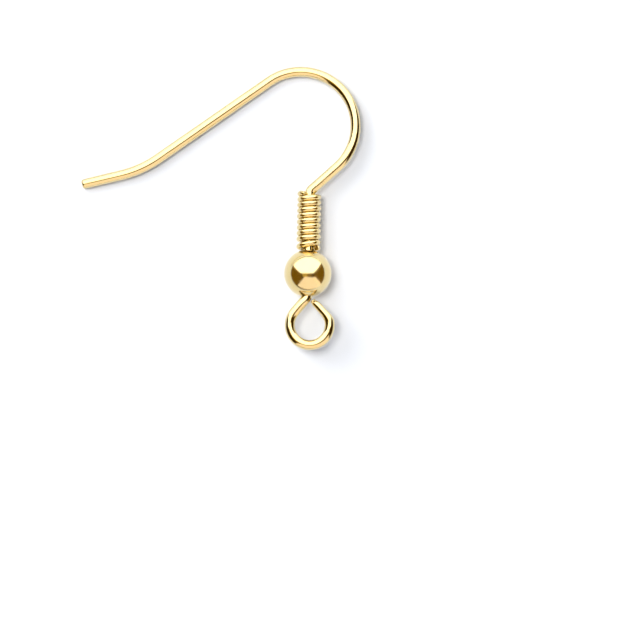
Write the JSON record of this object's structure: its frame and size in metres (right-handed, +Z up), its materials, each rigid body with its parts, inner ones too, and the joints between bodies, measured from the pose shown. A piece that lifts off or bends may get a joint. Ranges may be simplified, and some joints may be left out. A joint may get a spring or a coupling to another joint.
{
  "type": "ear wire",
  "caption": "Fishhook ear wire of round gold-plated wire, with a wound coil and a ball on its shank above an open loop for a drop.",
  "frame": {"origin": "centre of the footprint, on the surface that the ear wire lies on", "axes": "+Z up off the surface; +Y nearly along the shank, from the loop to the hook; +X from the tail's tip towards the hook and ball"},
  "size_m": [0.0176, 0.0178, 0.003],
  "materials": {
    "gold_wire": "polished gold plate with faint drawing lines",
    "gold_coil": "polished gold plate on fine wire",
    "gold_ball": "mirror-polished gold plate"
  },
  "bodies": {
    "wire": {"ear_hook": "gold_wire", "coil": "gold_coil"},
    "bead": {"ball": "gold_ball"}
  },
  "joints": [
    {"name": "ball_spin", "type": "hinge", "parent": "wire", "child": "bead", "pos_m": [0.00563, -0.00412, 0.0015], "axis": [0.0021, 0.9963, -0.0861], "continuous": true}
  ]
}
